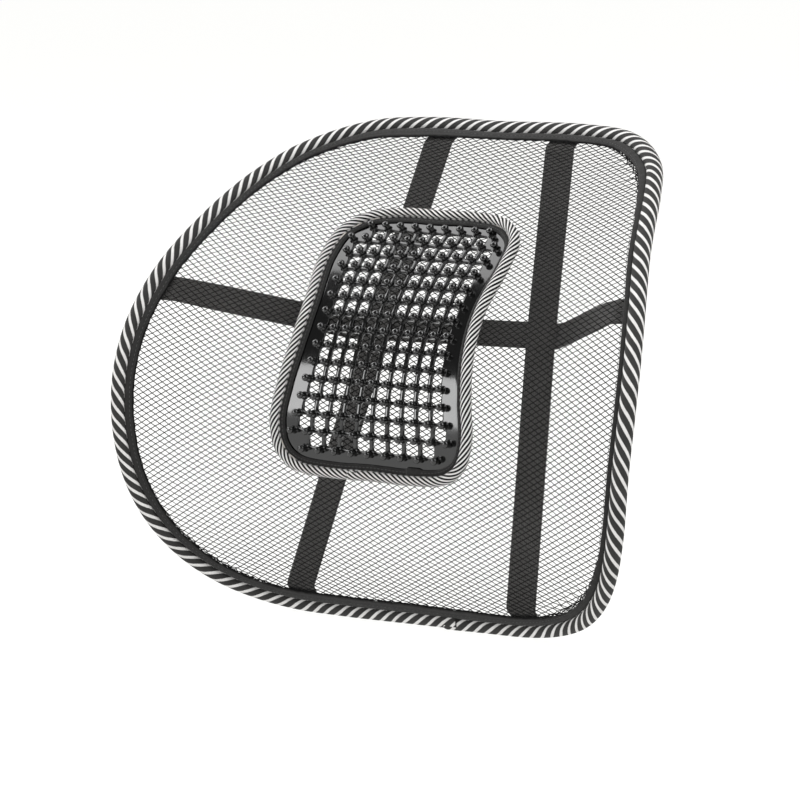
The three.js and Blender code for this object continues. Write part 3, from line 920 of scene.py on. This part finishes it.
def margin_faces(points, ring):
    """Rings of faces from the lattice's border out to the plate's edge, along rays from its middle."""
    edge = outline(PIPING, -PLATE_EDGE, 720)
    angle = np.unwrap(np.arctan2(edge[:, 1] - PIPING_CENTRE_S, edge[:, 0]))
    order = np.argsort(angle)
    faces, inner = [], ring
    start = np.array([points[k][:2] for k in ring])
    ray = np.arctan2(start[:, 1] - PIPING_CENTRE_S, start[:, 0])
    low = angle.min()
    ray = low + np.mod(ray - low, TAU)
    target = np.stack([np.interp(ray, angle[order], edge[order, k], period=TAU) for k in (0, 1)], axis=1)
    for step in range(1, MARGIN_RINGS + 1):
        outer = []
        for place in start + (target - start) * step / MARGIN_RINGS:
            outer.append(len(points))
            points.append((place[0], place[1], 0.0))
        for k in range(len(ring)):
            n = (k + 1) % len(ring)
            faces.append((inner[k], inner[n], outer[n], outer[k]))
        inner = outer
    return faces


def plate_pins():
    """The pins as lathe-turned studs with round heads, in the flat plate."""
    profile = np.array(PIN_OUTLINE) * MM
    turn = TAU * np.arange(PIN_SIDES) / PIN_SIDES
    ring = np.stack([np.cos(turn), np.sin(turn)], axis=1)
    points, faces = [], []
    for row in range(PIN_ROWS):
        for column in range(PIN_COLUMNS):
            if not is_pin(column, row):
                continue
            first = len(points)
            x, s = lattice_place(column, row)
            for height, radius in profile:
                points += [(x + a * radius, s + b * radius, height) for a, b in ring]
            _, quads = grid_faces(len(profile), PIN_SIDES)
            faces += (quads + first).tolist()
            last = first + (len(profile) - 1) * PIN_SIDES
            points.append((x, s, profile[-1][0] + PIN_CROWN))
            faces += [(last + k, last + (k + 1) % PIN_SIDES, len(points) - 1) for k in range(PIN_SIDES)]
            faces.append([first + k for k in range(PIN_SIDES)][::-1])
    return points, faces


def massage_plate():
    """The lattice is thickened and bevelled, joined with its pins while it is flat, and then bent."""
    plate = make_object("massage_plate_moulding", *plate_face(), PLASTIC)
    face_outward(plate)
    if plate.data.polygons[0].normal.z < 0:
        plate.data.flip_normals()
    thick = plate.modifiers.new("thickness", "SOLIDIFY")
    thick.thickness, thick.offset = PLATE_THICKNESS, -1.0
    rounded = plate.modifiers.new("rounded edges", "BEVEL")
    rounded.width, rounded.segments = PLATE_BEVEL, BEVEL_SEGMENTS
    rounded.limit_method, rounded.angle_limit = "ANGLE", BEVEL_FROM
    apply_modifiers(plate)
    pins = make_object("pins", *plate_pins(), PLASTIC)
    work = bmesh.new()
    work.from_mesh(plate.data)
    work.from_mesh(pins.data)
    for face in work.faces:
        face.smooth = True
    work.to_mesh(plate.data)
    work.free()
    bpy.data.objects.remove(pins)
    face_outward(plate)
    flat = np.empty(len(plate.data.vertices) * 3)
    plate.data.vertices.foreach_get("co", flat)
    flat = flat.reshape(-1, 3)
    height = flat[:, 2] + PLATE_REAR + PLATE_THICKNESS - PANEL_SAG
    plate.data.vertices.foreach_set("co", bent(flat[:, 0], flat[:, 1], height).ravel())
    plate.data.update()
    return plate


plate = massage_plate()
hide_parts("massage_plate")

# ---- The pad's piping and binding ----

piping = wrapped_roll(
    "pad_piping", PIPING, PIPING_HEIGHT - PANEL_SAG, PIPING_RADIUS, join=0.515, lap=7 * MM,
    lap_rise=0.3 * MM, step=0.4 * MM, sides=20, material=FINE_STRIPED, seed=21,
)
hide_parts("pad_piping_cover")

PAD_TAPE_JOIN = 0.44  # share of the piping's loop
PAD_TAPE_LAP = 9 * MM
# The tape's section, as (inward from the piping's centre line, height over the net) in mm.
PAD_TAPE_SECTION = [
    (2.7, 0.5), (2.7, 3.4), (3.6, 4.35), (4.8, 4.5), (5.9, 4.3), (6.8, 3.95), (7.3, 3.45),
    (7.2, 3.05), (6.4, 3.0), (5.0, 3.1), (4.5, 2.6), (4.5, 0.5),
]
PAD_TAPE_STEP = 1.3 * MM
PAD_TAPE_GIRTH = 16 * MM
PAD_TAPE_TOP = 2.8 * MM  # the part of its section above this rises over the lap
LAP_WIDENING = 0.28
LAP_RISE = 0.55 * MM


def smooth_ring(points, rounds):
    """Chaikin's corner cutting on a closed ring."""
    for _ in range(rounds):
        after = np.roll(points, -1, axis=0)
        cut = [points * 0.75 + after * 0.25, points * 0.25 + after * 0.75]
        points = np.stack(cut, axis=1).reshape(-1, 2)
    return points


def pad_binding():
    """The black tape that holds the plate's edge, with one end lapped over the other."""
    run = PIPING.length + PAD_TAPE_LAP
    travel = np.linspace(0, run, int(run / PAD_TAPE_STEP))
    section = smooth_ring(np.array(PAD_TAPE_SECTION) * MM, 2)
    lapped = np.clip(1 - (run - travel) / (PAD_TAPE_LAP * 1.3), 0, 1)
    step = np.minimum(lapped * 4, 1)
    uneven = 0.03 * ripple(travel, PIPING.length, 31, (17, 29, 43, 71))
    width = 1 + LAP_WIDENING * step + uneven
    inward = PAD_TAPE_OUTER + (section[None, :, 0] - PAD_TAPE_OUTER) * width[:, None]
    upper = section[None, :, 1] > PAD_TAPE_TOP
    height = section[None, :, 1] + upper * step[:, None] * LAP_RISE
    points = PIPING.place(PAD_TAPE_JOIN * PIPING.length + travel[:, None], -inward, height - PANEL_SAG)
    return sweep("pad_binding", points, TAPE, run, PAD_TAPE_GIRTH)


pad_tape = pad_binding()
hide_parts("pad_binding_tape")

PAD_STITCH = 5.6 * MM
PAD_STITCH_HEIGHT = 4.32 * MM
PAD_STITCH_PITCH = 2.8 * MM


def pad_stitches():
    lines = row_of_stitches(
        lambda along, up: PIPING.place(along, -PAD_STITCH, up + PAD_STITCH_HEIGHT - PANEL_SAG),
        PIPING.length, PAD_STITCH_PITCH,
    )
    return tubes("pad_stitches", lines, STITCH_RADIUS, THREAD)


pad_sewing = pad_stitches()

# ---- The elastic bands and the chair strap ----

ELASTIC_COLUMNS = 48
ELASTIC_RIBS = 10
RIB_RISE = 0.11 * MM
SELVEDGE = 0.08  # share of the thickness left at the webbing's edges
BAND_STEP = 1.5 * MM
STRAP_STEP = 2 * MM
BAND_TUCK = 2 * MM  # how far the webbing's ends run on behind the binding
BAND_END_DEPTH = 2.1 * MM
STRAP_TUCK = 5 * MM


def side_view(s, height):
    """The place (y, z) of a point of the bend."""
    return bent(0.0, s, height)[1:]


BAND_TOP = [side_view(BAND_TOP_S - along, -FLAP_DEPTH) for along in (0, FLAP_LENGTH)]
BAND_BOTTOM = [side_view(BAND_BOTTOM_S + along, -FLAP_DEPTH) for along in (FLAP_LENGTH, 0)]
BAND_UP = (BAND_TOP[1] - BAND_BOTTOM[0]) / np.linalg.norm(BAND_TOP[1] - BAND_BOTTOM[0])
BAND_BACK = np.array([BAND_UP[1], -BAND_UP[0]])
STRAP_RISE = (side_view(STRAP_S, -FLAP_DEPTH) - BAND_BOTTOM[0]) @ BAND_UP
CROSSING = BAND_BOTTOM[0] + BAND_UP * STRAP_RISE - BAND_BACK * BAND_PULL
BAND_TOP_END = side_view(BAND_TOP_S + BAND_TUCK, -BAND_END_DEPTH)
BAND_BOTTOM_END = side_view(BAND_BOTTOM_S - BAND_TUCK, -BAND_END_DEPTH)


def band_x(z):
    """How far the bands' centres are from their middle, at a height."""
    share = (BAND_TOP[0][1] - z) / (BAND_TOP[0][1] - BAND_BOTTOM[1][1])
    return BAND_TOP_X + (BAND_BOTTOM_X - BAND_TOP_X) * share


def rounded_path(corners, step, window):
    """A line through the corners at even steps, with its corners eased over a window of steps."""
    corners = np.array(corners)
    run = np.concatenate([[0], np.cumsum(np.linalg.norm(np.diff(corners, axis=0), axis=1))])
    places = np.linspace(0, run[-1], int(run[-1] / step))
    line = np.stack([np.interp(places, run, corners[:, k]) for k in (0, 1)], axis=1)
    half = window // 2
    eased = line.copy()
    for i in range(len(line)):
        near = min(half, i, len(line) - 1 - i)
        eased[i] = line[i - near : i + near + 1].mean(axis=0)
    return eased, run[-1]


def webbing_section(width):
    """Places across the webbing and off its middle plane, over the front and back along the rear."""
    share = np.linspace(-1, 1, ELASTIC_COLUMNS)
    across = share * width / 2
    edge = np.sqrt(np.clip(1 - np.abs(share) ** 12, 0, 1)) * (1 - SELVEDGE) + SELVEDGE
    rib = RIB_RISE * np.cos(np.pi * (share + 1) * ELASTIC_RIBS) * edge
    half = ELASTIC_THICKNESS / 2 * edge + rib
    return np.concatenate([across, across[::-1]]), np.concatenate([half, -half[::-1]])


def support_band(name, side):
    corners = [BAND_TOP_END, BAND_TOP[1], CROSSING, BAND_BOTTOM[0], BAND_BOTTOM_END]
    line, run = rounded_path(corners, BAND_STEP, 3)
    tangent = tangents(line)
    normal = np.stack([tangent[:, 1], -tangent[:, 0]], axis=1)
    across, thick = webbing_section(BAND_WIDTH)
    x = BAND_OFFSET + side * band_x(line[:, 1])[:, None] + across[None]
    yz = line[:, None] + normal[:, None] * thick[None, :, None]
    points = np.concatenate([x[..., None], yz], axis=-1)
    piece = sweep(name, points, BAND_ELASTIC, run, 2 * BAND_WIDTH)
    return piece


STRAP_BEND_X = band_x(CROSSING[1]) + STRAP_BEND
STRAP_TWIST_X = STRAP_END_X - FLAP_LENGTH - STRAP_TWIST


def strap_up(x):
    """The strap's own up direction: it twists from the bands' plane to the lean of the hoop's sides."""
    share = np.clip((np.abs(x) - STRAP_TWIST_X) / STRAP_TWIST, 0, 1)
    share = share * share * (3 - 2 * share)
    side_lean = lean_at(STRAP_S)
    side = np.array([math.sin(side_lean), math.cos(side_lean)])
    return BAND_UP[None] * (1 - share[:, None]) + side[None] * share[:, None]


def chair_strap():
    end = (side_view(STRAP_S, -FLAP_DEPTH) - CROSSING) @ BAND_BACK
    behind = ELASTIC_THICKNESS + STRAP_GAP
    right = [(STRAP_BEND_X, behind), (STRAP_END_X - FLAP_LENGTH, end), (STRAP_END_X + STRAP_TUCK, end)]
    left = [(-x, back) for x, back in right[::-1]]
    line, run = rounded_path(left + right, STRAP_STEP, 5)
    tangent = tangents(line)
    across, thick = webbing_section(STRAP_WIDTH)
    x = line[:, :1] - tangent[:, 1:] * thick[None]
    back = line[:, 1:] + tangent[:, :1] * thick[None]
    outside = np.maximum(np.abs(line[:, 0]) - STRAP_BEND_X, 0) / (STRAP_END_X - STRAP_BEND_X)
    rise = STRAP_TILT * line[:, 0] + STRAP_END_RISE * outside
    upward = (across[None] + rise[:, None])[..., None] * strap_up(line[:, 0])[:, None]
    yz = CROSSING + back[..., None] * BAND_BACK + upward
    points = np.concatenate([x[..., None], yz], axis=-1)
    piece = sweep("chair_strap_webbing", points, STRAP_ELASTIC, run, 2 * STRAP_WIDTH)
    return piece


band_left = support_band("band_left", -1)
band_right = support_band("band_right", 1)
strap = chair_strap()
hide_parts("support_band_left")
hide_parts("support_band_right")
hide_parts("chair_strap")

# ---- Finishes of the CAD pieces inside the covers ----


def refinish(node, material):
    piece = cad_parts[node]
    piece.data.materials.clear()
    piece.data.materials.append(material)


SPRING_STEEL = steel("spring_steel", 260, 0.6, grey(0.32), grey(0.55), (0.22, 0.45), 0.03 * MM)
CRIMPED_STEEL = steel("crimped_steel", 140, 0.65, grey(0.22), grey(0.48, 0.02), (0.3, 0.6), 0.08 * MM)
refinish("frame_wire", SPRING_STEEL)
refinish("wire_ferrule", CRIMPED_STEEL)
refinish("edge_foam_tube", tube_foam())
refinish("pad_piping_cord", cotton_cord())

# ---- What rides, and the net's flat size and area ----

PIECES = [
    edge_roll, binding, stitches, net, tucks, plate, piping, pad_tape, pad_sewing,
    band_left, band_right, strap,
]
for piece in PIECES:
    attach(piece, "root")


def shoelace(points):
    x, y = points[:, 0], points[:, 1]
    return abs(np.dot(x, np.roll(y, -1)) - np.dot(y, np.roll(x, -1))) / 2


NET_OUTLINE = outline(HOOP, -NET_EDGE, 720)
NET_FLAT = tuple(float(np.ptp(NET_OUTLINE[:, k])) for k in (0, 1))
float(shoelace(NET_OUTLINE))

# ---- Floor, light and camera ----

LOOK_AT = Vector((-26.65, -3.56, 137.35)) * MM
CAMERA_AZIMUTH = math.radians(36.86)  # from the front towards +X
CAMERA_ELEVATION = math.radians(8.54)
CAMERA_ROLL = math.radians(1.32)
CAMERA_DISTANCE = 3.112
CAMERA_LENS = 222.17
FLOOR_SIZE = 60.0

# (name, azimuth and elevation in degrees, distance, width, height, watts)
SOFTBOXES = [
    ("overhead_softbox", -98, 58, 2.6, 1.6, 0.9, 14.0),
    ("low_softbox", -36.5, 14, 3.2, 1.1, 1.1, 26.0),
    ("key_softbox", 70, 48, 3.0, 1.8, 1.8, 62.0),
    ("top_softbox", 143, 79, 3.0, 1.6, 1.6, 30.0),
    ("left_softbox", -85, 32, 3.0, 1.6, 1.6, 40.0),
]

# The backdrop glows at the horizon and darkens above it: sines of the elevation, and strengths.
HORIZON_TOP = 0.04
DARK_FROM = 0.2
HORIZON_GLOW = 1.0
ROOM_GLOW = 0.13


def direction(azimuth, elevation):
    """The unit vector towards an azimuth, from the front towards +X, and an elevation."""
    level = math.cos(elevation)
    return Vector((level * math.sin(azimuth), -level * math.cos(azimuth), math.sin(elevation)))


def add_camera():
    data = bpy.data.cameras.new("camera")
    data.lens, data.sensor_width = CAMERA_LENS, 36.0
    data.clip_end = 100.0
    camera = bpy.data.objects.new("camera", data)
    away = direction(CAMERA_AZIMUTH, CAMERA_ELEVATION)
    level = (-away).to_track_quat("-Z", "Y")
    turned = level @ Quaternion((0, 0, 1), -CAMERA_ROLL)
    place = Matrix.Translation(LOOK_AT + away * CAMERA_DISTANCE)
    camera.matrix_world = place @ turned.to_matrix().to_4x4()
    bpy.context.scene.collection.objects.link(camera)
    bpy.context.scene.camera = camera


def add_softbox(name, azimuth, elevation, distance, width, height, power):
    data = bpy.data.lights.new(name, "AREA")
    data.shape, data.size, data.size_y, data.energy = "RECTANGLE", width, height, power
    light = bpy.data.objects.new(name, data)
    away = direction(math.radians(azimuth), math.radians(elevation))
    turned = away.to_track_quat("Z", "Y").to_matrix().to_4x4()
    light.matrix_world = Matrix.Translation(LOOK_AT + away * distance) @ turned
    bpy.context.scene.collection.objects.link(light)


def add_floor():
    half = FLOOR_SIZE / 2
    corners = [(-half, -half, 0.0), (half, -half, 0.0), (half, half, 0.0), (-half, half, 0.0)]
    floor = make_object("studio_floor", corners, [(0, 1, 2, 3)], studio_floor(), smooth=False)
    floor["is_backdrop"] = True


def add_world():
    world = bpy.data.worlds.new("studio")
    world.use_nodes = True
    nodes, links = world.node_tree.nodes, world.node_tree.links
    parts = nodes.new("ShaderNodeSeparateXYZ")
    links.new(nodes.new("ShaderNodeTexCoord").outputs["Generated"], parts.inputs[0])
    fade = nodes.new("ShaderNodeMapRange")
    for key, value in ((1, HORIZON_TOP), (2, DARK_FROM), (3, HORIZON_GLOW), (4, ROOM_GLOW)):
        fade.inputs[key].default_value = value
    links.new(parts.outputs[2], fade.inputs[0])
    links.new(fade.outputs[0], nodes["Background"].inputs["Strength"])
    nodes["Background"].inputs["Color"].default_value = (1.0, 1.0, 1.0, 1.0)
    bpy.context.scene.world = world
    bpy.context.scene.view_settings.view_transform = "Standard"


add_camera()
add_floor()
add_world()
for softbox in SOFTBOXES:
    add_softbox(*softbox)

({key: [list(map(float, corner)) for corner in box]
     for key, box in (("cad", CAD_BOUNDS), ("visual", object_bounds()))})
